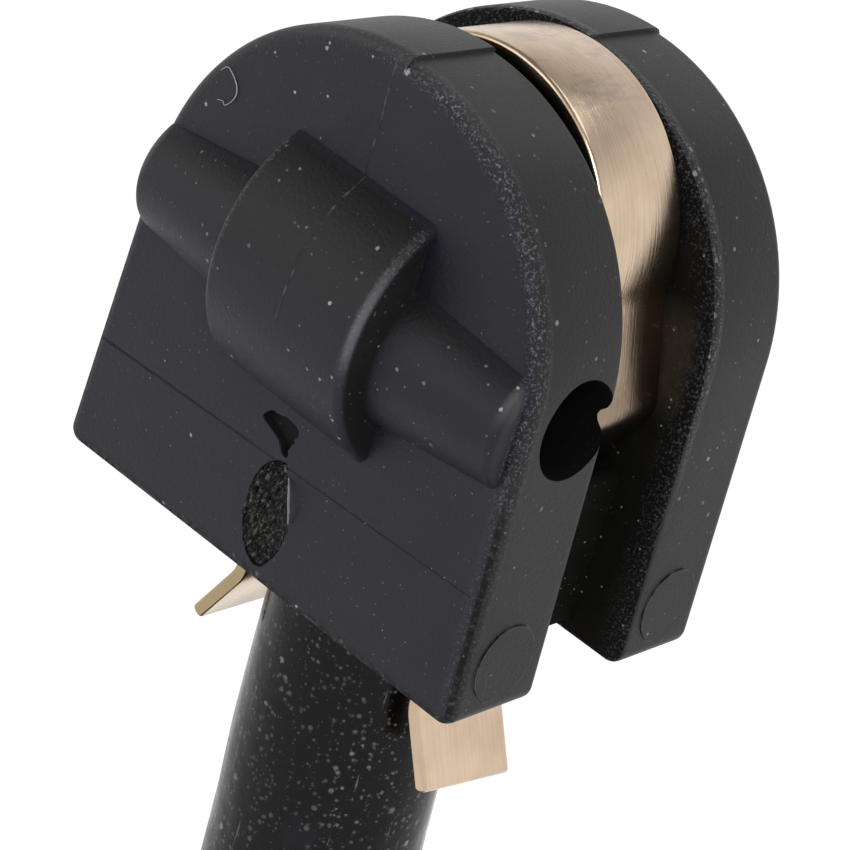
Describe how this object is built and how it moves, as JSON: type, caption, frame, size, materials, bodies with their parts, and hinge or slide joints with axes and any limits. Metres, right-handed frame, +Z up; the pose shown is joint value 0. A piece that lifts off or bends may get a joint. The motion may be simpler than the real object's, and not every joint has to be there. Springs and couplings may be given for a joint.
{
  "type": "brake pad wear sensor",
  "caption": "clip-in brake pad wear sensor with an arched plastic head, a bent bronze spring clip, a coiled cable and a plug connector",
  "frame": {"origin": "centre of the head's round top arch, in the middle of the slot that takes the pad's backing plate", "axes": "+Z up through the arch with the cable leaving downwards, -Y out of the face with the barrel, X along the barrel"},
  "size_m": [0.0819, 0.0333, 0.1885],
  "materials": {
    "black_nylon": "satin moulded, fine texture on the rims",
    "bronze_strip": "rolled, satin",
    "cable_jacket": "glossy with dust and fine scratches",
    "potting_resin": "cast",
    "tinned_metal": "tinned",
    "terminal_brass": "stamped",
    "red_insulation": "extruded",
    "black_insulation": "extruded",
    "wire_enamel": "enamelled",
    "seal_rubber": "moulded",
    "tie_nylon": "moulded",
    "boot_rubber": "moulded",
    "connector_plastic": "moulded",
    "lock_plastic": "moulded"
  },
  "bodies": {
    "root": {"head_body": "black_nylon", "spring_clip": "bronze_strip", "potting": "potting_resin", "lead_left": "red_insulation", "lead_right": "black_insulation", "crimp_left": "tinned_metal", "crimp_right": "tinned_metal", "sense_loop": "wire_enamel", "cable": "cable_jacket", "cable_coil": "cable_jacket", "cable_end": "cable_jacket", "coil_tie_upper": "tie_nylon", "coil_tie_lower": "tie_nylon", "cable_boot": "boot_rubber", "connector_housing": "connector_plastic", "terminal_lock": "lock_plastic", "wire_seal": "seal_rubber", "face_seal": "seal_rubber", "terminal_left": "terminal_brass", "terminal_right": "terminal_brass", "plug_lead_left": "red_insulation", "plug_lead_right": "black_insulation"}
  },
  "joints": []
}
